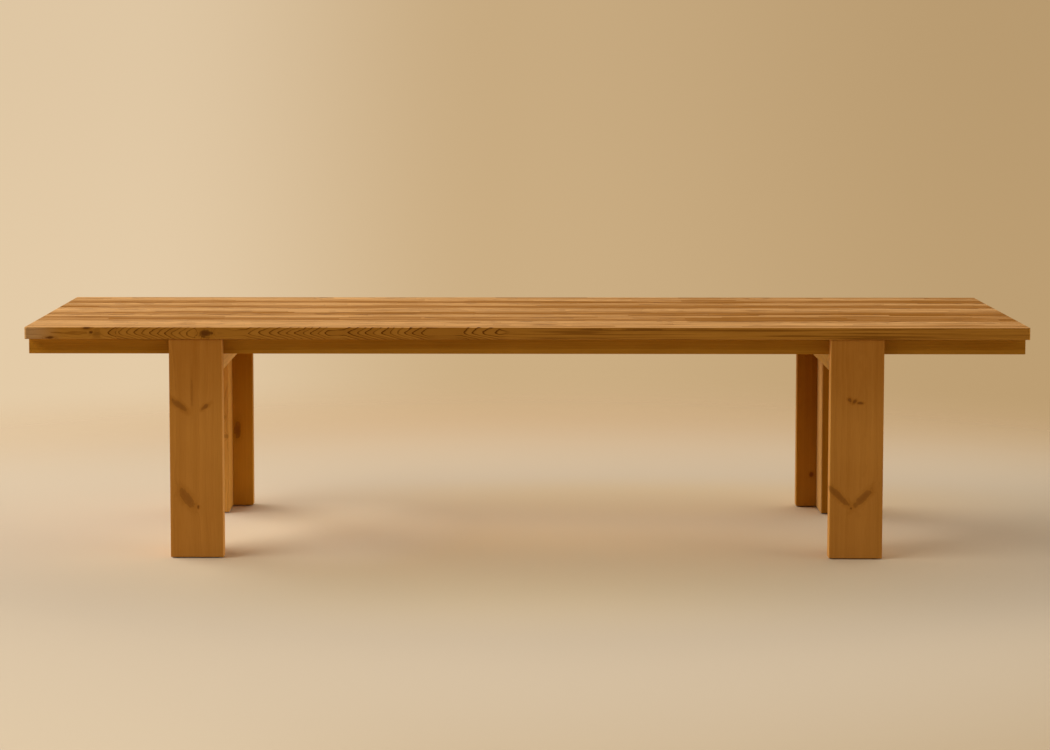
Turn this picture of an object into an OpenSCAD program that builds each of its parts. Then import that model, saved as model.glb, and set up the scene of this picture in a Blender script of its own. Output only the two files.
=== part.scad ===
// Long outdoor dining table in solid timber, fixed frame, no moving parts.
// X runs along the table, -Y is the front, +Z is up; the origin is on the floor under the middle of the top.
// Each leg is a T of two boards. Two long rails pass through notches in the leg webs and in the crossbeams.

/* [Table] */
// Length of the top, end to end
table_length = 3200; // [2900:50:3500]
// Depth of the top, front to back
table_depth = 1000; // [900:10:1100]
// Height of the top's upper face above the floor
table_height = 745; // [700:5:780]

/* [Top boards] */
// Thickness of the top boards
top_thickness = 38; // [32:1:45]
// Number of boards across the top
board_count = 5; // [4:1:6]
// Open gap between two boards
board_gap = 4; // [2:0.5:6]
// Radius of a board's four upright corners
board_corner_radius = 8; // [4:1:12]
// Radius of the eased long edges and end edges of the top boards
board_edge_radius = 1.5; // [1:0.5:4]

/* [Rails] */
// Thickness of a rail, front to back
rail_thickness = 45; // [38:1:55]
// Height of a rail
rail_height = 52; // [45:1:70]
// How far a rail's end stays back from the end of the top
rail_end_inset = 5.5; // [4:0.5:60]

/* [Legs] */
// Width of a leg board, along the table
leg_board_width = 170; // [150:5:200]
// Thickness of a leg board
leg_board_thickness = 45; // [38:1:55]
// How far a leg board's face stays back from the edge of the top
leg_setback = 5; // [2:1:12]
// From the end of the top to the outer edge of a leg board
leg_overhang = 461; // [400:1:520]
// Thickness of a leg web
web_thickness = 45; // [38:1:50]
// How far a leg web stands out behind its leg board
web_depth = 142; // [120:1:170]
// From a leg board's inner edge to the inner face of its web
web_inset = 71; // [60:0.5:75]
// Thickness of the tongue that joins a web to its leg board
tongue_thickness = 15; // [10:1:20]
// Depth of that tongue
tongue_depth = 12; // [8:1:18]
// Slack around the tongue
tongue_slack = 0.2; // [0.1:0.05:0.5]

/* [Crossbeams] */
// Thickness of a crossbeam
crossbeam_thickness = 45; // [38:1:50]
// Height of a crossbeam
crossbeam_height = 130; // [120:1:160]

/* [Battens and cleats] */
// Width of a batten, along the table
batten_width = 70; // [50:5:95]
// Height of a batten
batten_height = 44; // [38:1:44]
// Depth of the housing in the rail that holds a batten's end
housing_depth = 10; // [5:1:15]
// Slack in the housing
housing_slack = 0.2; // [0.1:0.05:0.5]
// From the end of the top to the middle of an end batten
end_batten_inset = 100; // [70:5:160]
// Thickness of a cleat, which lies against the crossbeam
cleat_thickness = 42; // [38:1:44]
// Height of a cleat
cleat_height = 44; // [38:1:60]
// Gap between a cleat's end and the leg web
cleat_end_gap = 3; // [1:0.5:10]

/* [Edges] */
// Radius of the eased edges of the legs, rails, crossbeams and battens
edge_radius = 2; // [1:0.5:4]

/* [Screws] */
// Shank diameter of the wood screws
screw_diameter = 5; // [4:0.5:6]
// Head diameter of the wood screws
screw_head_diameter = 10; // [9:0.5:12]
// How deep a screw bites into the piece behind
screw_bite = 26; // [18:1:28]
// Slack around a screw
screw_slack = 0.1; // [0.05:0.05:0.3]
// From a leg board's inner edge to its inner rail screw
leg_screw_inner = 12; // [9:1:14]
// From a leg board's outer edge to its outer rail screw
leg_screw_outer = 28; // [15:1:40]

/* [Bolts] */
// Diameter of the coach bolts
bolt_diameter = 10; // [8:1:12]
// Diameter of a bolt's domed head
bolt_head_diameter = 24; // [20:1:28]
// Height of the domed head
bolt_head_height = 5; // [4:0.5:7]
// Depth of the square neck under the head
bolt_neck_depth = 6; // [4:1:8]
// Slack around a bolt
bolt_slack = 0.25; // [0.1:0.05:0.5]
// From the leg board's back face to the bolt nearest to it
bolt_inset = 35; // [28:1:40]
// Spacing of a leg's two bolts, front to back
bolt_spread = 72; // [65:1:78]
// Height of the lower bolt above the underside of the crossbeam
bolt_low = 40; // [25:1:45]
// Height of the upper bolt above the lower one
bolt_rise = 50; // [30:1:55]
// Outside diameter of a washer
washer_diameter = 30; // [24:1:34]
// Thickness of a washer
washer_thickness = 2.5; // [1.5:0.5:3]
// Width of a nut across its flats
nut_width = 17; // [16:1:20]
// Thickness of a nut
nut_thickness = 8; // [6:1:10]
// How far a bolt's end stands out of its nut
bolt_tail = 3.5; // [2:0.5:8]

/* [Glides] */
// Diameter of a foot glide
glide_diameter = 26; // [20:1:32]
// Height of a foot glide
glide_height = 3; // [2:0.5:6]
// From a leg's edges to the middle of a glide
glide_inset = 22; // [18:1:22]
// Diameter of a glide's nail
nail_diameter = 3; // [2:0.5:4]
// Length of a glide's nail
nail_length = 18; // [12:1:25]

/* [Hidden] */
$fn = 48;
cut = 1;

half_length = table_length / 2;
half_depth = table_depth / 2;
top_underside = table_height - top_thickness;

board_width = (table_depth - (board_count - 1) * board_gap) / board_count;
board_pitch = board_width + board_gap;

leg_outer_x = half_length - leg_overhang;
leg_inner_x = leg_outer_x - leg_board_width;
leg_face_y = half_depth - leg_setback;
leg_back_y = leg_face_y - leg_board_thickness;
leg_bottom = glide_height;

web_inner_x = leg_inner_x + web_inset;
web_outer_x = web_inner_x + web_thickness;
web_middle_x = web_inner_x + web_thickness / 2;
web_end_y = leg_back_y - web_depth;

rail_inner_y = leg_back_y - rail_thickness;
rail_bottom = top_underside - rail_height;
rail_end_x = half_length - rail_end_inset;

crossbeam_inner_x = web_inner_x - crossbeam_thickness;
crossbeam_bottom = top_underside - crossbeam_height;

batten_bottom = top_underside - batten_height;
batten_half_length = rail_inner_y + housing_depth - housing_slack;
end_batten_x = half_length - end_batten_inset;
middle_batten_x = crossbeam_inner_x / 2;
batten_xs = [-end_batten_x, -middle_batten_x, 0, middle_batten_x, end_batten_x];

cleat_bottom = top_underside - cleat_height;
cleat_half_length = web_end_y - cleat_end_gap;
cleat_middle_x = web_inner_x + cleat_thickness / 2;

screw_radius = screw_diameter / 2;
screw_head_radius = screw_head_diameter / 2;
screw_head_depth = screw_head_radius - screw_radius;
screw_tip = 2 * screw_diameter;
socket_width = 0.45 * screw_head_diameter;
socket_depth = 0.6 * screw_head_depth;

bolt_radius = bolt_diameter / 2;
bolt_length = crossbeam_thickness + web_thickness + washer_thickness + nut_thickness + bolt_tail;
bolt_low_z = crossbeam_bottom + bolt_low;
bolt_places = [
    [leg_back_y - bolt_inset, bolt_low_z],
    [leg_back_y - bolt_inset - bolt_spread, bolt_low_z + bolt_rise]
];

// Two screws a board, a quarter of its width either side of its middle
board_screw_ys = [
    for (i = [0 : board_count - 1], side = [-1, 1])
        (i - (board_count - 1) / 2) * board_pitch + side * board_width / 4
];
screw_edge = 2 * screw_head_diameter;
batten_screw_ys = [for (y = board_screw_ys) if (abs(y) < rail_inner_y - screw_edge) y];
cleat_screw_ys = [for (y = board_screw_ys) if (abs(y) < cleat_half_length - screw_edge) y];
// Screws from a cleat into its crossbeam sit midway between the cleat's upright screws
crossbeam_screw_ys = [
    for (i = [1 : len(cleat_screw_ys) - 1]) (cleat_screw_ys[i - 1] + cleat_screw_ys[i]) / 2
];
// Screws from a rail into the outer board sit midway between the battens and the legs
rail_screw_xs = [middle_batten_x / 2, (middle_batten_x + leg_inner_x) / 2, (leg_outer_x + end_batten_x) / 2];
rail_screw_y = (leg_back_y + rail_inner_y) / 2;
leg_screw_xs = [leg_inner_x + leg_screw_inner, leg_outer_x - leg_screw_outer];
leg_screw_z = top_underside - rail_height / 2;

glide_places = [
    [leg_inner_x + glide_inset, leg_back_y + leg_board_thickness / 2],
    [leg_outer_x - glide_inset, leg_back_y + leg_board_thickness / 2],
    [web_middle_x, web_end_y + glide_inset]
];

// Flat shapes and timbers

module rounded_rect(width, height, radius) {
    square([width - 2 * radius, height], center = true);
    square([width, height - 2 * radius], center = true);
    for (x = [-1, 1], y = [-1, 1])
        translate([x * (width / 2 - radius), y * (height / 2 - radius)]) circle(radius);
}

// A timber between two opposite corners, its edges eased and its upright corners rounded
module timber(low, high, upright_radius = edge_radius, edge = edge_radius) {
    size = high - low;
    translate((low + high) / 2) intersection() {
        linear_extrude(size.z, center = true) rounded_rect(size.x, size.y, upright_radius);
        rotate([90, 0, 0]) linear_extrude(size.y, center = true) rounded_rect(size.x, size.z, edge);
        rotate([90, 0, 90]) linear_extrude(size.x, center = true) rounded_rect(size.y, size.z, edge);
    }
}

module block(low, high) {
    translate(low) cube(high - low);
}

// Puts what is modelled at the right back leg on one of the four corners
module at_corner(x_side, y_side) {
    mirror([x_side < 0 ? 1 : 0, 0, 0]) mirror([0, y_side < 0 ? 1 : 0, 0]) children();
}

module at_all_corners() {
    for (x_side = [-1, 1], y_side = [-1, 1]) at_corner(x_side, y_side) children();
}

module at_both_ends() {
    for (x_side = [-1, 1]) mirror([x_side < 0 ? 1 : 0, 0, 0]) children();
}

// Fasteners, each modelled with its head's outer face at the origin and its shank along +Z

module screw(length) {
    difference() {
        union() {
            cylinder(h = screw_head_depth, r1 = screw_head_radius, r2 = screw_radius);
            cylinder(h = length - screw_tip, r = screw_radius);
            translate([0, 0, length - screw_tip]) cylinder(h = screw_tip, r1 = screw_radius, r2 = 0.4);
        }
        translate([0, 0, -cut]) cylinder(h = socket_depth + cut, d = socket_width, $fn = 6);
    }
}

module screw_hole(length) {
    cylinder(h = length + screw_slack, r = screw_radius + screw_slack);
    cylinder(
        h = screw_head_depth + screw_slack,
        r1 = screw_head_radius + screw_slack,
        r2 = screw_radius
    );
    translate([0, 0, -cut]) cylinder(h = cut + 0.01, r = screw_head_radius + screw_slack);
}

module bolt() {
    dome_radius = (pow(bolt_head_diameter / 2, 2) + pow(bolt_head_height, 2)) / (2 * bolt_head_height);
    intersection() {
        translate([0, 0, dome_radius - bolt_head_height]) sphere(dome_radius, $fn = 96);
        translate([0, 0, -bolt_head_height - cut])
            cylinder(h = bolt_head_height + cut, d = bolt_head_diameter + 2 * cut);
    }
    translate([-bolt_radius, -bolt_radius, 0]) cube([bolt_diameter, bolt_diameter, bolt_neck_depth]);
    cylinder(h = bolt_length, r = bolt_radius);
}

module bolt_hole() {
    neck = bolt_diameter + 2 * bolt_slack;
    cylinder(h = bolt_length, r = bolt_radius + bolt_slack);
    translate([-neck / 2, -neck / 2, -cut]) cube([neck, neck, bolt_neck_depth + bolt_slack + cut]);
}

module washer() {
    difference() {
        cylinder(h = washer_thickness, d = washer_diameter);
        translate([0, 0, -cut]) cylinder(h = washer_thickness + 2 * cut, r = bolt_radius + bolt_slack);
    }
}

module nut() {
    corner_radius = nut_width / 2 / cos(30);
    difference() {
        intersection() {
            cylinder(h = nut_thickness, r = corner_radius, $fn = 6);
            union() {
                cylinder(h = nut_thickness / 2, r = corner_radius + cut);
                translate([0, 0, nut_thickness / 2])
                    cylinder(h = nut_thickness / 2, r1 = corner_radius + nut_thickness / 4, r2 = nut_width / 2);
            }
        }
        translate([0, 0, -cut]) cylinder(h = nut_thickness + 2 * cut, r = bolt_radius + bolt_slack / 5);
    }
}

module glide() {
    cylinder(h = glide_height / 2, d1 = glide_diameter - glide_height, d2 = glide_diameter);
    translate([0, 0, glide_height / 2]) cylinder(h = glide_height / 2, d = glide_diameter);
    translate([0, 0, glide_height - 0.01]) cylinder(h = nail_length - 2 * nail_diameter, d = nail_diameter);
    translate([0, 0, glide_height + nail_length - 2 * nail_diameter - 0.02])
        cylinder(h = 2 * nail_diameter, d1 = nail_diameter, d2 = 0.5);
}

// Where each group of fasteners goes

module at_batten_screws() {
    for (x = batten_xs, y = batten_screw_ys) translate([x, y, batten_bottom]) children();
}

module at_cleat_screws() {
    at_both_ends() for (y = cleat_screw_ys) translate([cleat_middle_x, y, cleat_bottom]) children();
}

module at_crossbeam_screws() {
    at_both_ends() for (y = crossbeam_screw_ys)
        translate([web_inner_x + cleat_thickness, y, top_underside - cleat_height / 2])
            rotate([0, -90, 0]) children();
}

module at_rail_screws() {
    at_all_corners() for (x = rail_screw_xs) translate([x, rail_screw_y, rail_bottom]) children();
}

module at_leg_screws() {
    at_all_corners() for (x = leg_screw_xs)
        translate([x, rail_inner_y, leg_screw_z]) rotate([-90, 0, 0]) children();
}

module at_leg_bolts() {
    at_all_corners() for (place = bolt_places)
        translate([crossbeam_inner_x, place[0], place[1]]) rotate([0, 90, 0]) children();
}

module batten_screw_holes() {
    at_batten_screws() screw_hole(batten_height + screw_bite);
}

module cleat_screw_holes() {
    at_cleat_screws() screw_hole(cleat_height + screw_bite);
}

module crossbeam_screw_holes() {
    at_crossbeam_screws() screw_hole(cleat_thickness + screw_bite);
}

module rail_screw_holes() {
    at_rail_screws() screw_hole(rail_height + screw_bite);
}

module leg_screw_holes() {
    at_leg_screws() screw_hole(rail_thickness + screw_bite);
}

// The pieces

module top_board(number) {
    y = (number - 1 - (board_count - 1) / 2) * board_pitch;
    color("#c98f52") difference() {
        timber(
            [-half_length, y - board_width / 2, top_underside],
            [half_length, y + board_width / 2, table_height],
            board_corner_radius,
            board_edge_radius
        );
        batten_screw_holes();
        cleat_screw_holes();
        rail_screw_holes();
    }
}

module rail(y_side) {
    color("#8f5a24") difference() {
        mirror([0, y_side < 0 ? 1 : 0, 0])
            timber([-rail_end_x, rail_inner_y, rail_bottom], [rail_end_x, leg_back_y, top_underside]);
        for (x = batten_xs)
            block(
                [x - batten_width / 2 - housing_slack, -rail_inner_y - housing_depth, batten_bottom],
                [x + batten_width / 2 + housing_slack, rail_inner_y + housing_depth, top_underside + cut]
            );
        rail_screw_holes();
        leg_screw_holes();
    }
}

module crossbeam(x_side) {
    color("#a8703a") mirror([x_side < 0 ? 1 : 0, 0, 0]) difference() {
        timber([crossbeam_inner_x, -leg_back_y, crossbeam_bottom], [web_inner_x, leg_back_y, top_underside]);
        for (y_side = [-1, 1]) mirror([0, y_side < 0 ? 1 : 0, 0])
            block(
                [crossbeam_inner_x - cut, rail_inner_y, rail_bottom],
                [web_inner_x + cut, leg_back_y + cut, top_underside + cut]
            );
        crossbeam_screw_holes();
        at_leg_bolts() bolt_hole();
    }
}

module leg_board(x_side, y_side) {
    groove = tongue_thickness / 2 + tongue_slack;
    color("#9a6229") at_corner(x_side, y_side) difference() {
        timber([leg_inner_x, leg_back_y, leg_bottom], [leg_outer_x, leg_face_y, top_underside]);
        block(
            [web_middle_x - groove, leg_back_y - cut, leg_bottom - cut],
            [web_middle_x + groove, leg_back_y + tongue_depth + tongue_slack, rail_bottom + tongue_slack]
        );
        leg_screw_holes();
        glide_nail_holes();
    }
}

module leg_web(x_side, y_side) {
    color("#a56d35") at_corner(x_side, y_side) difference() {
        union() {
            timber([web_inner_x, web_end_y, leg_bottom], [web_outer_x, leg_back_y, top_underside]);
            block(
                [web_middle_x - tongue_thickness / 2, leg_back_y - edge_radius - cut, leg_bottom],
                [web_middle_x + tongue_thickness / 2, leg_back_y + tongue_depth, rail_bottom]
            );
        }
        block(
            [web_inner_x - cut, rail_inner_y, rail_bottom],
            [web_outer_x + cut, leg_back_y + cut, top_underside + cut]
        );
        at_leg_bolts() bolt_hole();
        glide_nail_holes();
    }
}

module batten(x) {
    color("#8a5826") difference() {
        timber(
            [x - batten_width / 2, -batten_half_length, batten_bottom],
            [x + batten_width / 2, batten_half_length, top_underside]
        );
        batten_screw_holes();
    }
}

module cleat(x_side) {
    color("#8a5826") difference() {
        mirror([x_side < 0 ? 1 : 0, 0, 0])
            timber(
                [web_inner_x, -cleat_half_length, cleat_bottom],
                [web_inner_x + cleat_thickness, cleat_half_length, top_underside]
            );
        cleat_screw_holes();
        crossbeam_screw_holes();
    }
}

module glide_nail_holes() {
    for (place = glide_places)
        translate([place[0], place[1], 0])
            cylinder(h = glide_height + nail_length + screw_slack, d = nail_diameter + 2 * screw_slack);
}

module glides(x_side, y_side) {
    color("#2b2a28") at_corner(x_side, y_side)
        for (place = glide_places) translate([place[0], place[1], 0]) glide();
}

module top_board_1() { top_board(1); }
module top_board_2() { top_board(2); }
module top_board_3() { top_board(3); }
module top_board_4() { top_board(4); }
module top_board_5() { top_board(5); }
module front_rail() { rail(-1); }
module back_rail() { rail(1); }
module left_crossbeam() { crossbeam(-1); }
module right_crossbeam() { crossbeam(1); }
module front_left_leg_board() { leg_board(-1, -1); }
module front_right_leg_board() { leg_board(1, -1); }
module back_left_leg_board() { leg_board(-1, 1); }
module back_right_leg_board() { leg_board(1, 1); }
module front_left_leg_web() { leg_web(-1, -1); }
module front_right_leg_web() { leg_web(1, -1); }
module back_left_leg_web() { leg_web(-1, 1); }
module back_right_leg_web() { leg_web(1, 1); }
module left_end_batten() { batten(-end_batten_x); }
module left_batten() { batten(-middle_batten_x); }
module centre_batten() { batten(0); }
module right_batten() { batten(middle_batten_x); }
module right_end_batten() { batten(end_batten_x); }
module left_cleat() { cleat(-1); }
module right_cleat() { cleat(1); }
module batten_screws() { color("#8d8b86") at_batten_screws() screw(batten_height + screw_bite); }
module cleat_screws() { color("#8d8b86") at_cleat_screws() screw(cleat_height + screw_bite); }
module crossbeam_screws() { color("#8d8b86") at_crossbeam_screws() screw(cleat_thickness + screw_bite); }
module rail_screws() { color("#8d8b86") at_rail_screws() screw(rail_height + screw_bite); }
module leg_screws() { color("#8d8b86") at_leg_screws() screw(rail_thickness + screw_bite); }
module leg_bolts() { color("#9a9994") at_leg_bolts() bolt(); }
module bolt_washers() {
    color("#9a9994") at_leg_bolts()
        translate([0, 0, crossbeam_thickness + web_thickness]) washer();
}
module bolt_nuts() {
    color("#9a9994") at_leg_bolts()
        translate([0, 0, crossbeam_thickness + web_thickness + washer_thickness]) nut();
}
module front_left_glides() { glides(-1, -1); }
module front_right_glides() { glides(1, -1); }
module back_left_glides() { glides(-1, 1); }
module back_right_glides() { glides(1, 1); }

top_board_1();
top_board_2();
top_board_3();
top_board_4();
top_board_5();
front_rail();
back_rail();
left_crossbeam();
right_crossbeam();
front_left_leg_board();
front_right_leg_board();
back_left_leg_board();
back_right_leg_board();
front_left_leg_web();
front_right_leg_web();
back_left_leg_web();
back_right_leg_web();
left_end_batten();
left_batten();
centre_batten();
right_batten();
right_end_batten();
left_cleat();
right_cleat();
batten_screws();
cleat_screws();
crossbeam_screws();
rail_screws();
leg_screws();
leg_bolts();
bolt_washers();
bolt_nuts();
front_left_glides();
front_right_glides();
back_left_glides();
back_right_glides();
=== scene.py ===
import math
import random

import bmesh
import bpy
from mathutils import Matrix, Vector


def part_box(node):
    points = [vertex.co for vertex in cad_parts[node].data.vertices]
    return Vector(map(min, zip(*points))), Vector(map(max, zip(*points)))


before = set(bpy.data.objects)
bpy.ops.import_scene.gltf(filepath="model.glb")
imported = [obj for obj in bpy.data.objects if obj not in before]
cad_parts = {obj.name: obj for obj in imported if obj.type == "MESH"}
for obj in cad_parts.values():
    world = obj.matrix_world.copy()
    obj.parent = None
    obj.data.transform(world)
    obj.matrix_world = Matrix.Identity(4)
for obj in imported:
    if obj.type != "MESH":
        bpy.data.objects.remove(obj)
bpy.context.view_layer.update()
print("frame loaded with", len(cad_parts), "nodes")


# Small helpers for colours and shader nodes

def tint(red, green, blue):
    # A screen colour of 0 to 255 as the shader's linear colour
    channels = []
    for level in (red, green, blue):
        share = level / 255
        channels.append(share / 12.92 if share <= 0.04045 else ((share + 0.055) / 1.055) ** 2.4)
    return (*channels, 1.0)


def plug(tree, socket, value):
    if isinstance(value, bpy.types.NodeSocket):
        tree.links.new(value, socket)
    else:
        socket.default_value = value


def addNode(tree, kind, inputs=None, **settings):
    node = tree.nodes.new(kind)
    for name, value in settings.items():
        setattr(node, name, value)
    for key, value in (inputs or {}).items():
        plug(tree, node.inputs[key], value)
    return node


def calc(tree, operation, *values, clamp=False):
    return addNode(
        tree, "ShaderNodeMath", dict(enumerate(values)), operation=operation, use_clamp=clamp
    ).outputs[0]


def plus(tree, base, value, share=1.0):
    # The base with a share of the value added to it
    return calc(tree, "MULTIPLY_ADD", value, share, base)


def centred(tree, value):
    return calc(tree, "SUBTRACT", value, 0.5)


def remap(tree, value, start, end, low=0.0, high=1.0, curve="SMOOTHSTEP"):
    inputs = {"Value": value, "From Min": start, "From Max": end, "To Min": low, "To Max": high}
    return addNode(tree, "ShaderNodeMapRange", inputs, interpolation_type=curve).outputs[0]


def mixValue(tree, share, first, second):
    # first where share is 0, second where it is 1
    return plus(tree, first, share, calc(tree, "SUBTRACT", second, first))


def noise(tree, vector, scale, detail=2.0, roughness=0.5):
    inputs = {"Vector": vector, "Scale": scale, "Detail": detail, "Roughness": roughness}
    return addNode(tree, "ShaderNodeTexNoise", inputs).outputs[0]


def combine(tree, x, y, z):
    return addNode(tree, "ShaderNodeCombineXYZ", {0: x, 1: y, 2: z}).outputs[0]


def separate(tree, vector):
    return addNode(tree, "ShaderNodeSeparateXYZ", {0: vector}).outputs


def vectorLength(tree, vector):
    return addNode(tree, "ShaderNodeVectorMath", {0: vector}, operation="LENGTH").outputs["Value"]


def reachFrom(tree, place, centre, size, turn=0.0):
    # Distance from an ellipsoid's centre, which is 1 on its surface
    inputs = {
        "Vector": place,
        "Location": centre,
        "Rotation": (0, 0, math.radians(turn)),
        "Scale": size,
    }
    return vectorLength(
        tree, addNode(tree, "ShaderNodeMapping", inputs, vector_type="TEXTURE").outputs[0]
    )


def blendColours(tree, factor, first, second, mode="MIX"):
    node = addNode(
        tree, "ShaderNodeMix", {0: factor, 6: first, 7: second}, data_type="RGBA", blend_type=mode
    )
    return node.outputs[2]


def shadeColour(tree, colour, level):
    return blendColours(tree, 1.0, colour, combine(tree, level, level, level), "MULTIPLY")


def emptyMaterial(name):
    material = bpy.data.materials.new(name)
    material.use_nodes = True
    material.node_tree.nodes.clear()
    return material, material.node_tree


# Camera, at chest height in front of the table

cameraSetup = {
    "place": (-0.0459, -8.5991, 1.6255),
    "lens": 87.82,
    "yaw": -0.01483,
    "pitch": 0.07992,
    "roll": 0.00065,
    "shift": (0.0489, -0.1143),
}


def makeCamera(setup):
    data = bpy.data.cameras.new("tableCamera")
    data.lens = setup["lens"]
    data.sensor_width = 36
    data.shift_x, data.shift_y = setup["shift"]
    data.clip_end = 200
    camera = bpy.data.objects.new("tableCamera", data)
    bpy.context.collection.objects.link(camera)
    turn = Matrix.Rotation(-setup["yaw"], 4, "Z")
    turn = turn @ Matrix.Rotation(math.pi / 2 - setup["pitch"], 4, "X")
    turn = turn @ Matrix.Rotation(-setup["roll"], 4, "Z")
    camera.matrix_world = Matrix.Translation(setup["place"]) @ turn
    bpy.context.scene.camera = camera


makeCamera(cameraSetup)
print("camera placed")


# Light: one long soft panel on the left, and a dome that is brighter behind the table

panelLight = {
    "place": (-12.0, 0.0, 9.6),
    "size": (30.0, 5.0),  # along the depth of the room, and across
    "watts": 2650,
    "colour": (1.0, 0.97, 0.93),
}

domeLight = {
    "colour": (1.0, 0.93, 0.80),
    # Level of each side of the room near the horizon, and higher up
    "low": {"front": 0.0, "left": 1.1, "right": 2.5, "back": 0.6},
    "high": {"front": 0.11, "left": 0.7, "right": 0.92, "back": 2.45},
    "overhead": 0.0,
    # Slopes between which one side gives way to the next
    "leftToRight": (-0.3, 0.3),
    "toFront": (-0.3, -0.9),
    "toBack": (0.3, 0.9),
    "lowToHigh": (0.25, 0.5),
    "toOverhead": (0.6, 0.9),
}

backdrop = {
    "left": tint(228, 203, 167),
    "middle": tint(204, 174, 131),
    "right": tint(189, 158, 114),
    "spread": (-0.15, 0.0, 0.20),  # sideways slope of the view ray at each colour
    "shadeRise": (-0.12, 0.02),  # upward slope over which it darkens a little
    "topShade": 0.95,
}


def makePanel(setup):
    data = bpy.data.lights.new("panelLight", "AREA")
    data.shape = "RECTANGLE"
    data.size, data.size_y = setup["size"]
    data.energy = setup["watts"]
    data.color = setup["colour"]
    panel = bpy.data.objects.new("panelLight", data)
    bpy.context.collection.objects.link(panel)
    panel.visible_camera = False
    # Its local X runs along the room's depth, and it faces the table
    x, y, z = setup["place"]
    tilt = math.atan2(-x, z)
    panel.matrix_world = (
        Matrix.Translation((x, y, z))
        @ Matrix.Rotation(-tilt, 4, "Y")
        @ Matrix.Rotation(math.pi / 2, 4, "Z")
    )


def domeLevel(tree, dome, sideways, away, upward):
    # A compass direction picks the side of the room
    compass = addNode(
        tree, "ShaderNodeVectorMath", {0: combine(tree, sideways, away, 0.0)}, operation="NORMALIZE"
    )
    east, north, _ = separate(tree, compass.outputs[0])
    bands = []
    for band in (dome["low"], dome["high"]):
        level = remap(tree, east, *dome["leftToRight"], band["left"], band["right"])
        level = mixValue(tree, remap(tree, north, *dome["toFront"]), level, band["front"])
        bands.append(mixValue(tree, remap(tree, north, *dome["toBack"]), level, band["back"]))
    level = mixValue(tree, remap(tree, upward, *dome["lowToHigh"]), *bands)
    return mixValue(tree, remap(tree, upward, *dome["toOverhead"]), level, dome["overhead"])


def backdropColour(tree, drop, sideways, upward):
    left, middle, right = drop["spread"]
    toMiddle = remap(tree, sideways, left, middle)
    toRight = remap(tree, sideways, middle, right)
    colour = blendColours(tree, toMiddle, drop["left"], drop["middle"])
    colour = blendColours(tree, toRight, colour, drop["right"])
    return shadeColour(tree, colour, remap(tree, upward, *drop["shadeRise"], 1.0, drop["topShade"]))


def makeWorld(dome, drop):
    world = bpy.data.worlds.new("studio")
    bpy.context.scene.world = world
    world.use_nodes = True
    tree = world.node_tree
    tree.nodes.clear()
    ray = addNode(tree, "ShaderNodeTexCoord").outputs["Generated"]
    sideways, away, upward = separate(tree, ray)
    # The dome lights the object, and the backdrop is what the camera and the gloss see
    level = domeLevel(tree, dome, sideways, away, upward)
    glow = combine(tree, *[calc(tree, "MULTIPLY", level, share) for share in dome["colour"]])
    path = addNode(tree, "ShaderNodeLightPath").outputs
    seen = calc(tree, "MAXIMUM", path["Is Camera Ray"], path["Is Glossy Ray"])
    seen = calc(tree, "MAXIMUM", seen, path["Is Transmission Ray"])
    colour = blendColours(tree, seen, glow, backdropColour(tree, drop, sideways, upward))
    background = addNode(tree, "ShaderNodeBackground", {"Color": colour, "Strength": 1.0})
    addNode(tree, "ShaderNodeOutputWorld", {"Surface": background.outputs[0]})


# Floor: pale, keeps the shadow, and fades into the backdrop further out

floorSetup = {
    "half": 60.0,
    "near": tint(211, 194, 171),
    "far": tint(207, 178, 143),
    "farReach": (0.8, 3.0),  # metres behind the table's middle
    # Painted light: soft pale patches in the floor's colour that lighten and warm the shadow: below the
    # front, behind, and by the left leg
    "patches": (
        {"place": (0.05, -0.55), "reach": (1.85, 1.18), "tint": tint(236, 214, 177)},
        {"place": (0.50, 0.58), "reach": (1.60, 0.62), "tint": tint(216, 194, 161)},
        {"place": (-0.62, -0.06), "reach": (0.50, 0.70), "tint": tint(242, 226, 198)},
    ),
    "paintedLightEdge": (1.0, 0.2),  # where a patch starts and where it is full, as shares of its reach
    "fade": (1.9, 4.3),  # metres from the middle of the table
}


def floorColour(tree, setup, place):
    away = remap(tree, separate(tree, place)[1], *setup["farReach"])
    colour = blendColours(tree, away, setup["near"], setup["far"])
    # Painted light: each patch blends a paler, warmer colour into the floor where the table's shadow
    # falls
    for patch in setup["patches"]:
        reach = reachFrom(tree, place, (*patch["place"], 0), (*patch["reach"], 1))
        colour = blendColours(tree, remap(tree, reach, *setup["paintedLightEdge"]), colour, patch["tint"])
    return colour


def makeFloor(setup):
    mesh = bpy.data.meshes.new("floor")
    shape = bmesh.new()
    bmesh.ops.create_grid(shape, x_segments=1, y_segments=1, size=setup["half"])
    shape.to_mesh(mesh)
    shape.free()
    floor = bpy.data.objects.new("floor", mesh)
    bpy.context.collection.objects.link(floor)
    material, tree = emptyMaterial("paleFloor")
    place = addNode(tree, "ShaderNodeTexCoord").outputs["Object"]
    colour = floorColour(tree, setup, place)
    surface = addNode(tree, "ShaderNodeBsdfDiffuse", {"Color": colour}).outputs[0]
    clear = addNode(tree, "ShaderNodeBsdfTransparent").outputs[0]
    # Clear to the camera far out and from below
    below = addNode(tree, "ShaderNodeNewGeometry").outputs["Backfacing"]
    gone = calc(tree, "MAXIMUM", remap(tree, vectorLength(tree, place), *setup["fade"]), below)
    seen = addNode(tree, "ShaderNodeLightPath").outputs["Is Camera Ray"]
    gone = calc(tree, "MULTIPLY", gone, seen)
    mixed = addNode(tree, "ShaderNodeMixShader", {0: gone, 1: surface, 2: clear}).outputs[0]
    addNode(tree, "ShaderNodeOutputMaterial", {"Surface": mixed})
    mesh.materials.append(material)


makePanel(panelLight)
makeWorld(domeLight, backdrop)
makeFloor(floorSetup)
bpy.context.scene.view_settings.view_transform = "Standard"
print("light, backdrop and floor made")


# Wood: every board is cut from its own log, so the rings run through all of its faces

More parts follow.
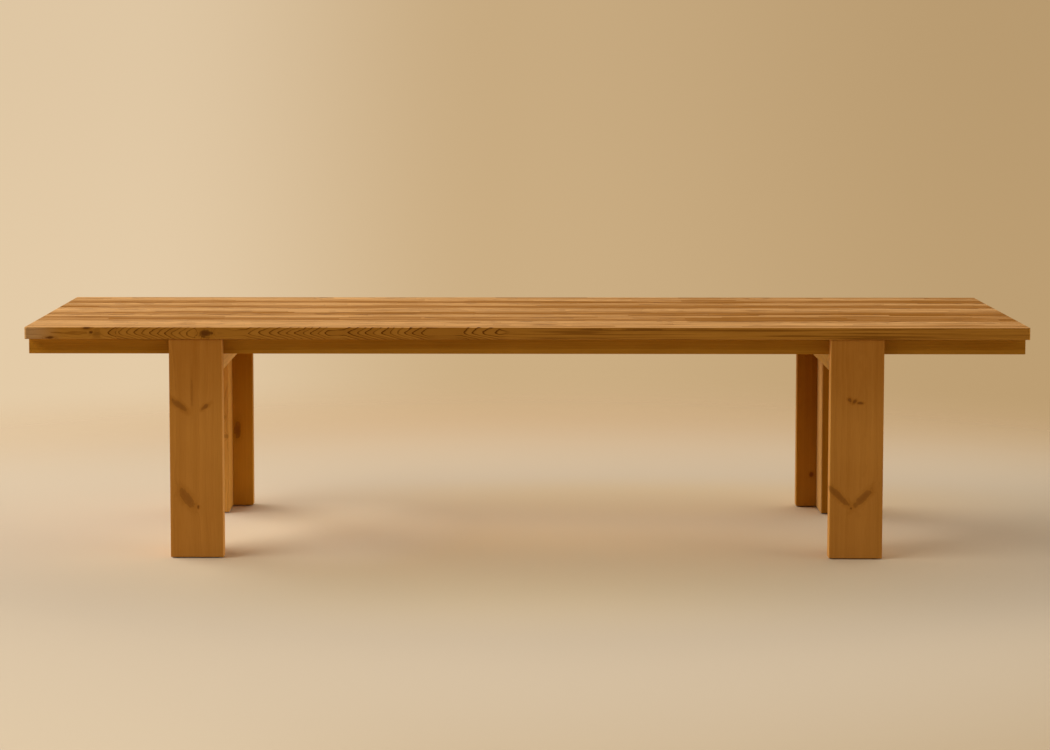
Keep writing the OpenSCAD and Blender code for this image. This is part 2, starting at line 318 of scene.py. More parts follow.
woodDefaults = {
    "light": tint(200, 139, 62),  # early wood
    "dark": tint(146, 86, 18),  # the deepest streaks
    "line": tint(98, 52, 4),  # late wood of each ring
    "ring": 0.0036,  # metres from ring to ring
    "lateWood": (0.45, 0.9),  # parts of a ring at which late wood starts and is full
    "lineStrength": 0.16,
    "pith": (0.02, 0.085),  # across and through the board, from its middle
    "wander": 10.0,  # how many rings the log swells and shrinks by
    "waves": 1.1,  # swells in a metre
    "tone": 0.35,  # 0 is the light colour, 1 the dark one
    # How far each layer of the grain moves the tone
    "streaks": 0.54,
    "ringTones": 0.144,
    "clouds": 0.25,
    "fibres": 0.3,
    "dashes": 0.0,  # short dark lines with sharp ends
    "sawMarks": 0.0,  # strength of the bands that a saw leaves
    "sawTone": 0.6,  # and how far those move the tone
    "roughness": (0.50, 0.62),
    "gloss": 1.06,  # index of refraction of the finish
    "knots": (),
    "knotColour": tint(128, 78, 28),
    "knotRim": tint(88, 48, 10),
    "knotBend": 2.2,  # rings that the grain bends by around a knot
    "knotShade": 0.25,  # how much darker the tone gets there
    "endGrain": 0.72,
    "staves": None,
    "frontEdge": None,  # the stave on the front edge, where it runs in one piece
    # Painted light and shade: other colours towards one side of the board, or on both faces, standing in
    # for how the light falls there
    "paintedLitSide": None,  # paler wood towards one side of the board, or both faces
    # Painted shade: the board gets darker towards one end
    "shade": None,  # darker towards one end: where it starts and ends, and how much
}

# Noise of each layer: scale along and across the board, detail, roughness, shift for each seed
grainLayers = {
    "ripple": (22.0, 60.0, 2.0, 0.5, 1.9),
    "streak": (1.3, 38.0, 3.0, 0.6, 1.7),
    "fibre": (14.0, 420.0, 3.0, 0.65, 2.3),
    "dash": (3.2, 62.0, 2.0, 0.5, 2.9),
    "line": (2.2, 170.0, 2.0, 0.5, 3.3),
}
swellNoise = (5.0, 2.5, 0.5, 3.1)  # the same for the log's swells, whose scale along is "waves"

# Noise levels between which a dash or a line shows
dashEdge = (0.55, 0.62)
lineEdge = (0.52, 0.61)

cloudScale = 5.0
sawScale = (230.0, 9.0)  # along and across the board

# Fixed numbers that keep the random draws apart
drawKeys = {"rowLength": 3.7, "blockTone": 9.1, "ring": 1.3, "ringSeed": 0.37}

# A knot's layers, in shares of the knot's own size
knotShape = {
    "wobbleScale": 90.0,  # of the noise that roughens its outline
    "wobble": 1.1,
    "core": (0.45, 1.2),
    "rim": 0.9,
    "rimWidth": 0.22,
    "halo": (0.9, 2.4),  # where the grain bends around it
}

ringShape = {
    "ripple": 0.9,  # how many rings the small waves shift the pattern by
    "lateEnd": (0.93, 1.0),  # parts of a ring over which the late wood stops
    "weight": (0.6, 1.1),  # the faintest ring's late wood, and the strongest one's
}

endEdge = (0.6, 0.9)  # how squarely a face crosses the grain before it is end grain
glueStrength = 0.4
rimStrength = 0.4

# How the surface's gloss and its relief follow the grain
fibreDullness = 0.3
endDullness = 0.2
relief = {"late": 0.5, "saw": 1.5, "glue": -0.8, "rim": -0.8}
bumpStrength = 0.35
bumpDistance = 0.0004


def boardCoordinates(tree, low, high):
    # Long, wide and thin directions of a board, in metres of the shared frame
    thin, wide, long = sorted(range(3), key=lambda axis: high[axis] - low[axis])
    coordinates = addNode(tree, "ShaderNodeTexCoord").outputs
    place = separate(tree, coordinates["Object"])
    facing = separate(tree, coordinates["Normal"])
    return {
        "along": place[long],
        "across": place[wide],
        "depth": place[thin],
        "place": combine(tree, place[long], place[wide], place[thin]),
        "endFacing": facing[long],
        "sideFacing": facing[wide],
        "middle": ((low[wide] + high[wide]) / 2, (low[thin] + high[thin]) / 2),
    }


def draw3(tree, x, y, z):
    # Three fixed random numbers for each whole-number place
    node = addNode(
        tree, "ShaderNodeTexWhiteNoise", {"Vector": combine(tree, x, y, z)}, noise_dimensions="3D"
    )
    return separate(tree, node.outputs["Color"])


def grainNoise(tree, board, layer, seed):
    alongScale, crossScale, detail, roughness, shift = layer
    place = combine(
        tree,
        calc(tree, "MULTIPLY", board["along"], alongScale),
        calc(tree, "MULTIPLY", board["across"], crossScale),
        plus(tree, seed * shift, board["depth"], crossScale),
    )
    return noise(tree, place, 1.0, detail, roughness)


def knotMasks(tree, knots, place):
    # Each knot is an ellipsoid: a core, a rim around it, and a halo
    wobble = centred(tree, noise(tree, place, knotShape["wobbleScale"], 3.0))
    core, rim, halo = 0.0, 0.0, 0.0
    for knot in knots:
        reach = reachFrom(tree, place, knot["place"], knot["size"], knot.get("turn", 0.0))
        reach = plus(tree, reach, wobble, knotShape["wobble"])
        fromRim = calc(tree, "ABSOLUTE", calc(tree, "SUBTRACT", reach, knotShape["rim"]))
        strength = knot.get("strength", 1.0)
        around = strength * knot.get("ring", 1.0)
        thisCore = remap(tree, reach, *knotShape["core"], strength, 0.0)
        thisRim = remap(tree, fromRim, 0.0, knotShape["rimWidth"], around, 0.0)
        thisHalo = remap(tree, reach, *knotShape["halo"], around, 0.0)
        core = calc(tree, "MAXIMUM", core, thisCore)
        rim = calc(tree, "MAXIMUM", rim, thisRim)
        halo = calc(tree, "MAXIMUM", halo, thisHalo)
    return core, rim, halo


# Painted light and shade: the board's colours change towards one side, or on both faces
def paintedLitSideTints(tree, paintedLitSide, board, wood):
    fromMiddle = calc(tree, "ABSOLUTE", calc(tree, "SUBTRACT", board["depth"], board["middle"][1]))
    ways = {"across": board["across"], "depth": board["depth"], "bothFaces": fromMiddle}
    share = remap(tree, ways[paintedLitSide["way"]], *paintedLitSide["reach"])
    return {
        "light": blendColours(tree, share, wood["light"], paintedLitSide["light"]),
        "dark": blendColours(tree, share, wood["dark"], paintedLitSide["dark"]),
    }


def rowTones(tree, row, tones):
    # Tone of each row of staves, from a stepped ramp
    ramp = addNode(tree, "ShaderNodeValToRGB", {0: calc(tree, "DIVIDE", row, float(len(tones)))})
    ramp.color_ramp.interpolation = "CONSTANT"
    stops = ramp.color_ramp.elements
    while len(stops) < len(tones):
        stops.new(1.0)
    for index, tone in enumerate(tones):
        stops[index].position = index / len(tones)
        stops[index].color = (tone, tone, tone, 1)
    return ramp.outputs[0]


def staveLayout(tree, staves, board, wholeEdge):
    # Which stave a point is on, with the stave's own pith, ring start, tone and glue lines
    along = board["along"]
    width = staves["width"]
    seed = staves["seed"]
    row = calc(tree, "DIVIDE", calc(tree, "SUBTRACT", board["across"], staves["start"]), width)
    rowNumber = calc(tree, "FLOOR", row)
    lengthDraw, offsetDraw, _ = draw3(tree, rowNumber, seed, drawKeys["rowLength"])
    shortest, longest = staves["lengths"]
    length = plus(tree, shortest, lengthDraw, longest - shortest)
    block = calc(tree, "DIVIDE", plus(tree, along, offsetDraw, staves["rowShift"]), length)
    # The stave on the board's front edge can run in one piece
    whole = calc(tree, "COMPARE", rowNumber, 0.0, 0.1) if wholeEdge else 0.0
    cut = calc(tree, "SUBTRACT", 1.0, whole)
    blockNumber = calc(tree, "MULTIPLY", calc(tree, "FLOOR", block), cut)
    first, second, third = draw3(tree, rowNumber, blockNumber, seed)
    rowMiddle = plus(tree, staves["start"], calc(tree, "ADD", rowNumber, 0.5), width)
    pithAcross = plus(tree, rowMiddle, centred(tree, first), staves["pithAside"])
    lowest, highest = staves["pithDepth"]
    pithDepth = plus(tree, board["middle"][1] + lowest, second, highest - lowest)
    # Each block strays a little from the tone of its row
    shift = centred(tree, draw3(tree, blockNumber, rowNumber, drawKeys["blockTone"])[0])
    tone = plus(tree, rowTones(tree, row, staves["rows"]), shift, staves["spread"])
    # Painted shade: the tone darkens along the board, standing in for the light falling off away from the
    # lamp on the left
    tone = plus(tree, tone, along, staves["paintedShadeDrift"])
    tone = calc(tree, "MINIMUM", calc(tree, "MAXIMUM", tone, 0.0), staves["darkest"])
    toSide = calc(tree, "MULTIPLY", calc(tree, "PINGPONG", row, 0.5), width)
    toEnd = plus(tree, whole, calc(tree, "PINGPONG", block, 0.5), length)
    toGlue = calc(tree, "MINIMUM", toSide, toEnd)
    return whole, {
        "pith": (pithAcross, pithDepth),
        "phase": calc(tree, "MULTIPLY", third, staves["ringStarts"]),
        "tone": tone,
        "glue": remap(tree, toGlue, *staves["glue"], 1.0, 0.0),
    }


def edgeGrain(tree, edge, board, whole, wood):
    # The front edge's stave: groups of arcs, then straight grain with fine lines
    along = board["along"]
    lean = calc(tree, "SUBTRACT", board["depth"], edge["pith"][1])
    phase = plus(tree, wood["phase"], calc(tree, "MULTIPLY", lean, edge["lean"]), whole)
    turning = 0.0
    before, after, fade = edge["arcFade"]
    for start, end, rings, boldness in edge["arcs"]:
        step = remap(tree, along, start, end, 0.0, rings, "LINEAR")
        phase = plus(tree, phase, calc(tree, "MULTIPLY", step, whole), -1.0)
        begun = remap(tree, along, start - before, start + after)
        ended = remap(tree, along, end, end + fade, boldness, 0.0)
        turning = calc(tree, "MAXIMUM", turning, calc(tree, "MULTIPLY", begun, ended))
    straight = calc(tree, "MULTIPLY", whole, remap(tree, along, *edge["straight"]))
    strength = mixValue(tree, turning, *edge["lineStrength"])
    strength = mixValue(tree, whole, wood["lineStrength"], strength)
    weaker = mixValue(tree, straight, 1.0, edge["straightRings"])
    lines = remap(tree, along, *edge["calmEnd"], *edge["straightLines"])
    # Painted shade: the face that looks forwards takes deeper colours, standing in for its shade
    face = calc(tree, "MULTIPLY", whole, remap(tree, board["sideFacing"], *edge["facing"]))
    # The left end of the forward face is paler and greyer
    paleEnd = calc(tree, "MULTIPLY", face, remap(tree, along, *edge["paleEndReach"]))
    light = blendColours(tree, face, wood["light"], edge["light"])
    return {
        "pith": [mixValue(tree, whole, *pair) for pair in zip(wood["pith"], edge["pith"])],
        "phase": phase,
        "ringsPerMetre": mixValue(tree, whole, wood["ringsPerMetre"], 1.0 / edge["ring"]),
        "wander": mixValue(tree, straight, wood["wander"], edge["straightWander"]),
        "lateStart": mixValue(tree, whole, wood["lateStart"], edge["lateStart"]),
        "lineStrength": calc(tree, "MULTIPLY", strength, weaker),
        "lines": calc(tree, "MULTIPLY", straight, lines),
        "fineLines": calc(tree, "MULTIPLY", straight, edge["fineLines"]),
        "tone": mixValue(tree, whole, wood["tone"], edge["tone"]),
        "streaks": mixValue(tree, whole, wood["streaks"], edge["streaks"]),
        "dashes": mixValue(tree, whole, wood["dashes"], 0.0),
        "light": blendColours(tree, paleEnd, light, edge["paleEndLight"]),
        "dark": blendColours(tree, face, wood["dark"], edge["dark"]),
    }


def cutBoard(tree, look, board, seed):
    # What the board is cut from: its pith, rings and colours, and then what staves change
    middle = board["middle"]
    wood = {
        "pith": (middle[0] + look["pith"][0], middle[1] + look["pith"][1]),
        "phase": random.Random(seed).uniform(0, 40),
        "ringsPerMetre": 1.0 / look["ring"],
        "lateStart": look["lateWood"][0],
        "glue": 0.0,
        "lines": 0.0,
        "fineLines": 0.0,
    }
    for name in ("wander", "lineStrength", "tone", "streaks", "dashes", "light", "dark"):
        wood[name] = look[name]
    if look["paintedLitSide"]:
        wood.update(paintedLitSideTints(tree, look["paintedLitSide"], board, wood))
    if look["staves"]:
        whole, stave = staveLayout(tree, look["staves"], board, look["frontEdge"])
        wood.update(stave)
        if look["frontEdge"]:
            wood.update(edgeGrain(tree, look["frontEdge"], board, whole, wood))
    return wood


def ringPattern(tree, look, board, wood, halo, seed):
    # Rings: distance from the pith, swollen and shrunk along the log
    sideways = calc(tree, "SUBTRACT", board["across"], wood["pith"][0])
    inwards = calc(tree, "SUBTRACT", board["depth"], wood["pith"][1])
    radius = vectorLength(tree, combine(tree, sideways, inwards, 0.0))
    swell = grainNoise(tree, board, (look["waves"], *swellNoise), seed)
    ripple = grainNoise(tree, board, grainLayers["ripple"], seed)
    phase = plus(tree, wood["phase"], radius, wood["ringsPerMetre"])
    phase = plus(tree, phase, centred(tree, swell), wood["wander"])
    phase = plus(tree, phase, centred(tree, ripple), ringShape["ripple"])
    phase = plus(tree, phase, halo, look["knotBend"])
    # Late wood darkens slowly and stops sharply, and no two rings are alike
    turn = calc(tree, "FRACT", phase)
    rise = remap(tree, turn, wood["lateStart"], look["lateWood"][1])
    late = calc(tree, "MULTIPLY", rise, remap(tree, turn, *ringShape["lateEnd"], 1.0, 0.0))
    ringNumber = calc(tree, "FLOOR", phase)
    ringDraw = draw3(tree, ringNumber, seed * drawKeys["ringSeed"], drawKeys["ring"])[0]
    faintest, strongest = ringShape["weight"]
    weight = plus(tree, faintest, ringDraw, strongest - faintest)
    return calc(tree, "MULTIPLY", late, weight), ringDraw


def sawBands(tree, look, board, seed):
    if not look["sawMarks"]:
        return 0.0
    alongCut = calc(tree, "MULTIPLY", board["along"], sawScale[0])
    acrossCut = calc(tree, "MULTIPLY", board["across"], sawScale[1])
    bands = centred(tree, noise(tree, combine(tree, alongCut, acrossCut, seed), 1.0, 2.0))
    return calc(tree, "MULTIPLY", bands, look["sawMarks"])


def woodTone(tree, look, board, wood, grain):
    # Tone between the light and the dark colour, clamped at the last step
    tone = plus(tree, wood["tone"], remap(tree, grain["dash"], *dashEdge), wood["dashes"])
    # Painted shade towards one end of the board
    if look["shade"]:
        start, end, amount = look["shade"]
        tone = plus(tree, tone, remap(tree, board["along"], start, end, 0.0, amount))
    tone = plus(tree, tone, centred(tree, grain["line"]), wood["fineLines"])
    tone = plus(tree, tone, centred(tree, grain["streak"]), wood["streaks"])
    tone = plus(tree, tone, centred(tree, grain["cloud"]), look["clouds"])
    tone = plus(tree, tone, centred(tree, grain["ringDraw"]), look["ringTones"])
    tone = plus(tree, tone, grain["fibre"], look["fibres"])
    tone = plus(tree, tone, grain["saw"], look["sawTone"])
    return calc(tree, "MULTIPLY_ADD", grain["halo"], look["knotShade"], tone, clamp=True)


def woodColour(tree, look, wood, grain, tone, end):
    # The tone, then the dark marks over it: late wood, lines, glue and knots
    lines = calc(tree, "MULTIPLY", remap(tree, grain["line"], *lineEdge), wood["lines"])
    late = calc(tree, "MULTIPLY", grain["late"], wood["lineStrength"])
    glue = calc(tree, "MULTIPLY", wood["glue"], glueStrength)
    rim = calc(tree, "MULTIPLY", grain["rim"], rimStrength)
    colour = blendColours(tree, tone, wood["light"], wood["dark"])
    colour = blendColours(tree, calc(tree, "MAXIMUM", late, lines), colour, look["line"])
    colour = blendColours(tree, glue, colour, look["line"])
    colour = blendColours(tree, grain["core"], colour, look["knotColour"])
    colour = blendColours(tree, rim, colour, look["knotRim"])
    return shadeColour(tree, colour, mixValue(tree, end, 1.0, look["endGrain"]))


def woodMaterial(name, look, low, high, seed):
    material, tree = emptyMaterial(name)
    board = boardCoordinates(tree, low, high)
    core, rim, halo = knotMasks(tree, look["knots"], board["place"])
    wood = cutBoard(tree, look, board, seed)
    late, ringDraw = ringPattern(tree, look, board, wood, halo, seed)
    grain = {"core": core, "rim": rim, "halo": halo, "late": late, "ringDraw": ringDraw}
    for layer in ("streak", "fibre", "dash", "line"):
        grain[layer] = grainNoise(tree, board, grainLayers[layer], seed)
    grain["fibre"] = centred(tree, grain["fibre"])
    grain["cloud"] = noise(tree, board["place"], cloudScale, 2.0)
    grain["saw"] = sawBands(tree, look, board, seed)
    # End grain is darker and duller
    end = remap(tree, calc(tree, "ABSOLUTE", board["endFacing"]), *endEdge)
    tone = woodTone(tree, look, board, wood, grain)
    colour = woodColour(tree, look, wood, grain, tone, end)
    smooth, dull = look["roughness"]
    rough = plus(tree, (smooth + dull) / 2, grain["fibre"], fibreDullness)
    rough = plus(tree, rough, late, smooth - dull)
    rough = calc(tree, "MULTIPLY_ADD", end, endDullness, rough, clamp=True)
    height = plus(tree, grain["fibre"], late, relief["late"])
    height = plus(tree, height, grain["saw"], relief["saw"])
    height = plus(tree, height, wood["glue"], relief["glue"])
    height = plus(tree, height, rim, relief["rim"])
    inputs = {"Strength": bumpStrength, "Distance": bumpDistance, "Height": height}
    bump = addNode(tree, "ShaderNodeBump", inputs)
    inputs = {
        "Base Color": colour,
        "Roughness": rough,
        "Normal": bump.outputs[0],
        "IOR": look["gloss"],
    }
    surface = addNode(tree, "ShaderNodeBsdfPrincipled", inputs)
    addNode(tree, "ShaderNodeOutputMaterial", {"Surface": surface.outputs[0]})
    return material


def dress(node, material):
    # The CAD part keeps its mesh, only its finish changes
    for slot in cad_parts[node].material_slots:
        slot.material = material


def dressBoard(node, look, seed):
    low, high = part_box(node)
    dress(node, woodMaterial(node + "Wood", {**woodDefaults, **look}, low, high, seed))


# Top boards: glued from narrow staves

topWood = {
    "light": tint(218, 164, 101),
    "dark": tint(156, 98, 18),
    "ring": 0.0055,
    "streaks": 1.05,
    "ringTones": 0.28,
    "lineStrength": 0.5,
    "waves": 1.6,
    "gloss": 1.08,
    "dashes": 0.5,
    "knotColour": tint(98, 56, 14),
    "knotRim": tint(68, 36, 5),
}

topStaves = {
    "width": 0.0281,
    "lengths": (0.3, 0.8),
    "rowShift": 2.0,  # metres that a row's joints are shifted by, at most
    # Painted shade: the tone darkens to the right, standing in for the light falling off
    "paintedShadeDrift": 0.14,  # how much darker the tone gets in a metre
    "darkest": 0.95,  # no stave's own tone goes past this
    "glue": (0.0003, 0.0011),  # metres from the joint at which the line starts to fade and is gone
    "pithAside": 0.07,  # metres that the piths vary by, sideways
    "pithDepth": (-0.09, 0.01),  # lowest and highest pith, from the board's middle
    "ringStarts": 60.0,  # rings that two staves' patterns start apart by, at most
}

# Tones of each board's rows from front to back, and how far a block strays from its row
topRows = {
    1: {"rows": (0.35, 0.35, 0.15, 0.10, 0.05, 0.05, 0.20), "spread": 0.35},
    2: {"rows": (0.50, 0.85, 0.80, 0.75, 0.50, 0.10, 0.45), "spread": 0.95},
    3: {"rows": (0.60, 1.00, 0.70, 0.35, 0.10, 0.05, 0.05), "spread": 0.55},
    4: {"rows": (0.25, 1.00, 0.95, 0.65, 0.30, 0.10, 0.35), "spread": 0.45},
    5: {"rows": (0.78, 0.80, 0.42, 0.22, 0.10, 0.22, 0.38), "spread": 0.7},
}

# The front edge is one long flat-sawn stave, with its pith close behind the face
frontEdge = {
    "pith": (-0.4945, 0.7258),
    "ring": 0.0086,
    "lean": -44.0,  # rings for each metre upwards, so the lower arms are the long ones
    "lateStart": 0.62,  # part of a ring at which its late wood starts
    "lineStrength": (0.35, 1.05),  # between the groups of arcs, and on them
    "tone": 0.36,
    "streaks": 0.4,
    # Painted shade: deeper colours for the face that looks forwards, standing in for the shade it sits in
    "light": tint(212, 149, 58),
    "dark": tint(147, 89, 14),
    "facing": (-0.3, -0.7),  # only the face that looks forwards has these two colours
    # Where each group of arcs starts and ends, its rings, and how bold they are
    "arcs": (
        (-1.335, -1.025, 12.0, 1.0),
        (-0.893, -0.631, 10.0, 1.05),
        (-0.578, -0.313, 10.0, 1.15),
        (-0.204, -0.085, 4.0, 1.9),
    ),
    "arcFade": (0.03, 0.01, 0.04),  # metres before and after a group's start, and past its end
    # The right half runs straight: its rings are faint, and fine lines take their place
    "straight": (-0.09, 0.0),
    "straightRings": 0.3,  # share of the rings' strength that is left
    "straightWander": 2.5,
    "fineLines": 1.0,  # how far the fine lines move the tone
    "straightLines": (0.5, 0.2),  # strength of the dark ones, before the calm end and in it
    "calmEnd": (1.28, 1.48),
    "paleEndReach": (-1.47, -1.59),  # the left end is paler and greyer
    "paleEndLight": tint(226, 180, 120),
}

edgeKnots = (
    {"place": (-1.022, -0.500, 0.7255), "size": (0.0175, 0.025, 0.0125)},
    {"place": (-1.000, -0.500, 0.7260), "size": (0.004, 0.01, 0.004)},
    {"place": (-1.400, -0.500, 0.7440), "size": (0.012, 0.012, 0.005)},
    {"place": (-1.386, -0.500, 0.7288), "size": (0.006, 0.01, 0.004)},
    {"place": (-1.369, -0.500, 0.7220), "size": (0.013, 0.01, 0.009), "strength": 0.35},
    {"place": (-1.518, -0.500, 0.7125), "size": (0.014, 0.01, 0.0035)},
    # Dark smears along the upper edge, without a rim
    {"place": (0.215, -0.500, 0.7395), "size": (0.052, 0.01, 0.0035), "strength": 0.6, "ring": 0.0},
    {"place": (0.375, -0.500, 0.7395), "size": (0.075, 0.01, 0.0040), "strength": 0.6, "ring": 0.0},
    {"place": (0.545, -0.500, 0.7415), "size": (0.075, 0.01, 0.0022), "strength": 0.4, "ring": 0.0},
    {"place": (1.120, -0.500, 0.7405), "size": (0.110, 0.01, 0.0022), "strength": 0.35, "ring": 0.0},
)

for number, rows in topRows.items():
    node = "top_board_%d" % number
    low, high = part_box(node)
    staves = {**topStaves, **rows, "start": low[1], "seed": float(number)}
    look = {**topWood, "staves": staves}
    if number == 1:
        look.update(frontEdge=frontEdge, knots=edgeKnots)
    dressBoard(node, look, number)
print("top boards finished")


# Leg boards: the knots are where the branches were, given along, across and through the board

legWood = {
    "lineStrength": 0.04,
    "streaks": 0.30,
    "ringTones": 0.08,
    # Painted shade: the upper end of each leg is darker, standing in for the shade under the top
    "shade": (0.38, 0.68, 0.28),
}

legKnots = {
    "front_left_leg_board": (
        {"place": (0.4955, -1.1085, -0.495), "size": (0.027, 0.0085, 0.03), "turn": -52, "strength": 0.7},
        {"place": (0.490, -1.024, -0.495), "size": (0.0135, 0.006, 0.03), "turn": 52, "strength": 0.8},
        {"place": (0.1955, -1.086, -0.495), "size": (0.035, 0.014, 0.03), "turn": -36, "strength": 0.6},
        {"place": (0.166, -1.0494, -0.495), "size": (0.006, 0.003, 0.02)},
        {"place": (0.530, -1.0665, -0.495), "size": (0.045, 0.003, 0.02), "strength": 0.3},
    ),
    "front_right_leg_board": (
        {"place": (0.5137, 1.0312, -0.495), "size": (0.007, 0.005, 0.02), "turn": -40},
        {"place": (0.509, 1.0458, -0.495), "size": (0.007, 0.005, 0.02), "turn": 40},
        {"place": (0.504, 1.0652, -0.495), "size": (0.004, 0.010, 0.02)},
        {"place": (0.2077, 0.9959, -0.495), "size": (0.050, 0.009, 0.03), "turn": -46, "strength": 0.65},
        {"place": (0.1975, 1.0738, -0.495), "size": (0.037, 0.011, 0.03), "turn": 44, "strength": 0.65},
        {"place": (0.165, 1.0385, -0.495), "size": (0.0035, 0.0035, 0.02)},
    ),
    "back_left_leg_board": (
        {"place": (0.2755, -1.023, 0.45), "size": (0.029, 0.012, 0.06), "strength": 0.7},
        {"place": (0.56, -1.09, 0.49), "size": (0.016, 0.010, 0.06), "turn": 30},
    ),
    "back_right_leg_board": (
        {"place": (0.1167, 1.0223, 0.45), "size": (0.008, 0.007, 0.06)},
        {"place": (0.41, 1.085, 0.49), "size": (0.022, 0.011, 0.06), "turn": -35},
    ),
}

# Painted light: the front legs' inner sides, which look to the table's middle, are paler, standing in for
# the light that falls on them
frontLitSide = {"way": "across", "light": tint(238, 178, 98), "dark": tint(180, 118, 46)}

# Painted shade: the back legs are redder and darker on the face that looks to the front, standing in for
# its shade, and paler to the back
backLegWood = {
    # Painted light and shade: the low tone and the strong shade make the foot paler and the upper end
    # darker
    "tone": 0.10,
    "shade": (0.05, 0.68, 0.75),
    "paintedLitSide": {
        "way": "depth",
        "reach": (0.456, 0.480),
        "light": tint(194, 140, 76),
        "dark": tint(144, 92, 36),
    },
}

legBoards = {
    "front_left_leg_board": {
        "pith": (-0.03, 0.09),
        "paintedLitSide": {**frontLitSide, "reach": (-0.9722, -0.9690)},
    },
    "front_right_leg_board": {
        "pith": (0.02, 0.09),
        "paintedLitSide": {**frontLitSide, "reach": (0.9722, 0.9690)},
    },
    "back_left_leg_board": {
        **backLegWood,
        "pith": (-0.03, 0.09),
        "light": tint(208, 152, 52),
        "dark": tint(154, 98, 10),
    },
    "back_right_leg_board": {
        **backLegWood,
        "pith": (0.02, 0.09),
        # Painted shade: darker colours, as this leg stands in deeper shade
        "light": tint(186, 130, 46),
        "dark": tint(136, 80, 10),
    },
}

for index, (node, look) in enumerate(legBoards.items()):
    dressBoard(node, {**legWood, **look, "knots": legKnots[node]}, 20 + index)
print("leg boards finished")


# Rails, webs and crossbeams: planed like the legs

railWood = {"light": tint(196, 140, 48), "dark": tint(142, 86, 8), "waves": 0.7}
# Painted light: the webs and crossbeams take paler colours, standing in for the light on their sides
# under the top
webPaintedLight = {"light": tint(218, 160, 78), "dark": tint(166, 106, 32), "tone": 0.15}
beamPaintedLight = {"dark": tint(176, 116, 44), "tone": 0.08}

planedBoards = {
    "front_rail": {**railWood, "tone": 0.5, "pith": (0.03, -0.05)},
    "back_rail": {**railWood, "tone": 0.45, "pith": (-0.03, 0.06)},
    "front_left_leg_web": {**webPaintedLight, "pith": (0.05, -0.05)},
    "front_right_leg_web": {**webPaintedLight, "pith": (-0.05, 0.06)},
    "back_left_leg_web": {
        **webPaintedLight,
        "pith": (0.04, 0.05),
        "knots": (
            {"place": (0.340, 0.308, -1.06), "size": (0.010, 0.012, 0.012), "strength": 0.4},
            {"place": (0.273, 0.308, -1.05), "size": (0.008, 0.010, 0.010), "strength": 0.4},
        ),
    },
    "back_right_leg_web": {
        # Painted shade: the web's narrow faces keep these darker colours, and its two broad faces are
        # paler
        "light": tint(178, 120, 34),
        "dark": tint(132, 78, 10),
        "pith": (-0.04, -0.06),
        "paintedLitSide": {
            "way": "bothFaces",
            "reach": (0.0175, 0.0215),
            "light": tint(220, 171, 106),
            "dark": tint(186, 134, 66),
        },
    },
    # Painted light: the left crossbeam is paler still
    "left_crossbeam": {
        **beamPaintedLight,
        "light": tint(249, 205, 125),
        "pith": (0.06, -0.05),
        "knots": ({"place": (-0.12, 0.64, -0.9925), "size": (0.018, 0.013, 0.04)},),
    },
    "right_crossbeam": {
        **beamPaintedLight,
        "light": tint(230, 186, 98),
        "pith": (-0.05, 0.05),
        "knots": ({"place": (0.17, 0.61, 0.9925), "size": (0.014, 0.010, 0.04)},),
    },
}

for index, (node, look) in enumerate(planedBoards.items()):
    dressBoard(node, look, 40 + index)
print("rails, webs and crossbeams finished")


# Battens and cleats under the top: straight from the saw

sawnWood = {
    "light": tint(206, 150, 78),
    "dark": tint(160, 102, 36),
    "lineStrength": 0.3,
    "roughness": (0.62, 0.72),
    "sawMarks": 0.5,
}

sawnBoards = {
    "left_end_batten": {"pith": (0.01, 0.05)},
    "left_batten": {"pith": (-0.02, 0.07), "tone": 0.5},
    "centre_batten": {
        "pith": (0.03, 0.06),
        "knots": ({"place": (0.09, 0.012, 0.652), "size": (0.016, 0.011, 0.03)},),
    },
    "right_batten": {"pith": (-0.01, -0.06), "tone": 0.45},
    "right_end_batten": {"pith": (0.02, -0.05)},
    "left_cleat": {"pith": (0.03, 0.04), "tone": 0.45},
    "right_cleat": {"pith": (-0.03, 0.05)},
}

for index, (node, look) in enumerate(sawnBoards.items()):
    dressBoard(node, {**sawnWood, **look}, 60 + index)
print("battens and cleats finished")


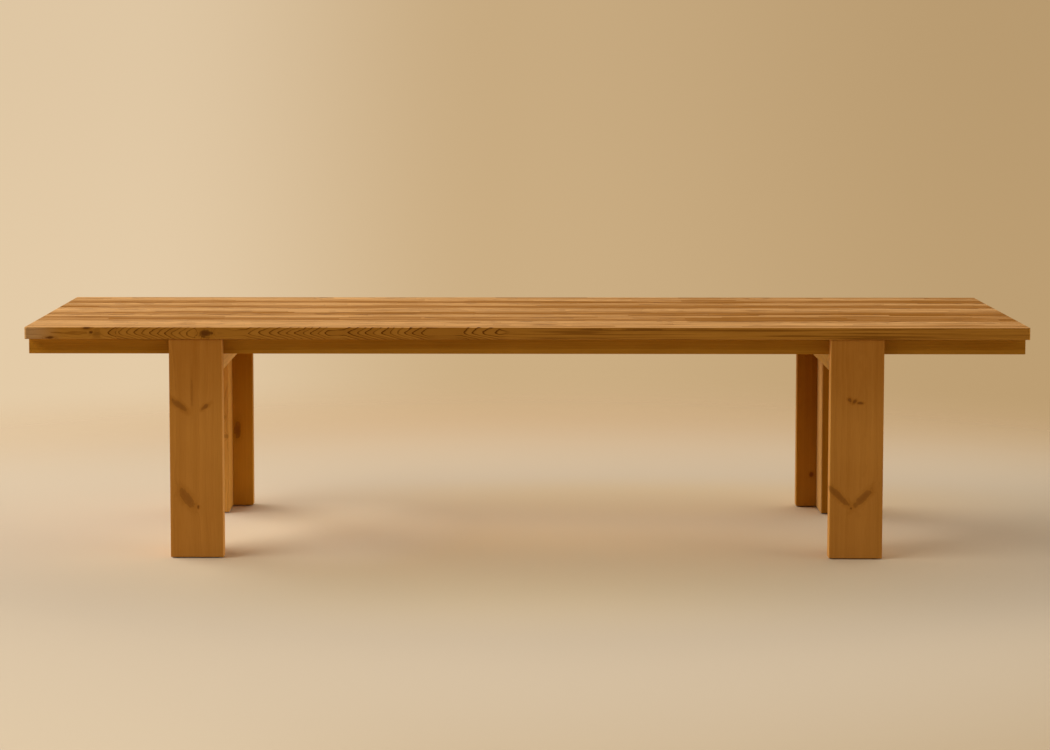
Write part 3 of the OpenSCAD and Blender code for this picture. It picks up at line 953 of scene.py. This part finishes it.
# Fasteners and glides: plated steel or plastic, in two close tones

hardware = {
    "screwSteel": {
        "nodes": ("batten_screws", "cleat_screws", "crossbeam_screws", "rail_screws", "leg_screws"),
        "first": tint(206, 198, 176),
        "second": tint(176, 168, 148),
        "patches": 160.0,
        "grain": 1400.0,
        "metal": 1.0,
        "roughness": (0.30, 0.44),
        "relief": 0.12,
    },
    "boltSteel": {
        "nodes": ("leg_bolts", "bolt_washers", "bolt_nuts"),
        "first": tint(196, 194, 188),
        "second": tint(158, 157, 152),
        "patches": 90.0,
        "grain": 900.0,
        "metal": 1.0,
        "roughness": (0.32, 0.50),
        "relief": 0.18,
    },
    "glidePlastic": {
        "nodes": (
            "front_left_glides", "front_right_glides", "back_left_glides", "back_right_glides",
        ),
        "first": tint(44, 42, 38),
        "second": tint(58, 54, 48),
        "patches": 60.0,
        "grain": 1100.0,
        "metal": 0.0,
        "roughness": (0.50, 0.66),
        "relief": 0.35,
    },
}

# Noise levels between which one tone, or one gloss, gives way to the other
toneEdge = (0.35, 0.65)
glossEdge = (0.3, 0.7)
grainDistance = 0.0002


def hardMaterial(name, look):
    material, tree = emptyMaterial(name)
    place = addNode(tree, "ShaderNodeTexCoord").outputs["Object"]
    patches = noise(tree, place, look["patches"], 3.0, 0.6)
    grain = noise(tree, place, look["grain"], 2.0)
    inputs = {"Strength": look["relief"], "Distance": grainDistance, "Height": grain}
    bump = addNode(tree, "ShaderNodeBump", inputs)
    colour = blendColours(tree, remap(tree, patches, *toneEdge), look["first"], look["second"])
    inputs = {
        "Base Color": colour,
        "Metallic": look["metal"],
        "Roughness": remap(tree, patches, *glossEdge, *look["roughness"]),
        "Normal": bump.outputs[0],
    }
    surface = addNode(tree, "ShaderNodeBsdfPrincipled", inputs)
    addNode(tree, "ShaderNodeOutputMaterial", {"Surface": surface.outputs[0]})
    return material


for name, look in hardware.items():
    material = hardMaterial(name, look)
    for node in look["nodes"]:
        dress(node, material)
print("fasteners and glides finished")


print("scene finished")
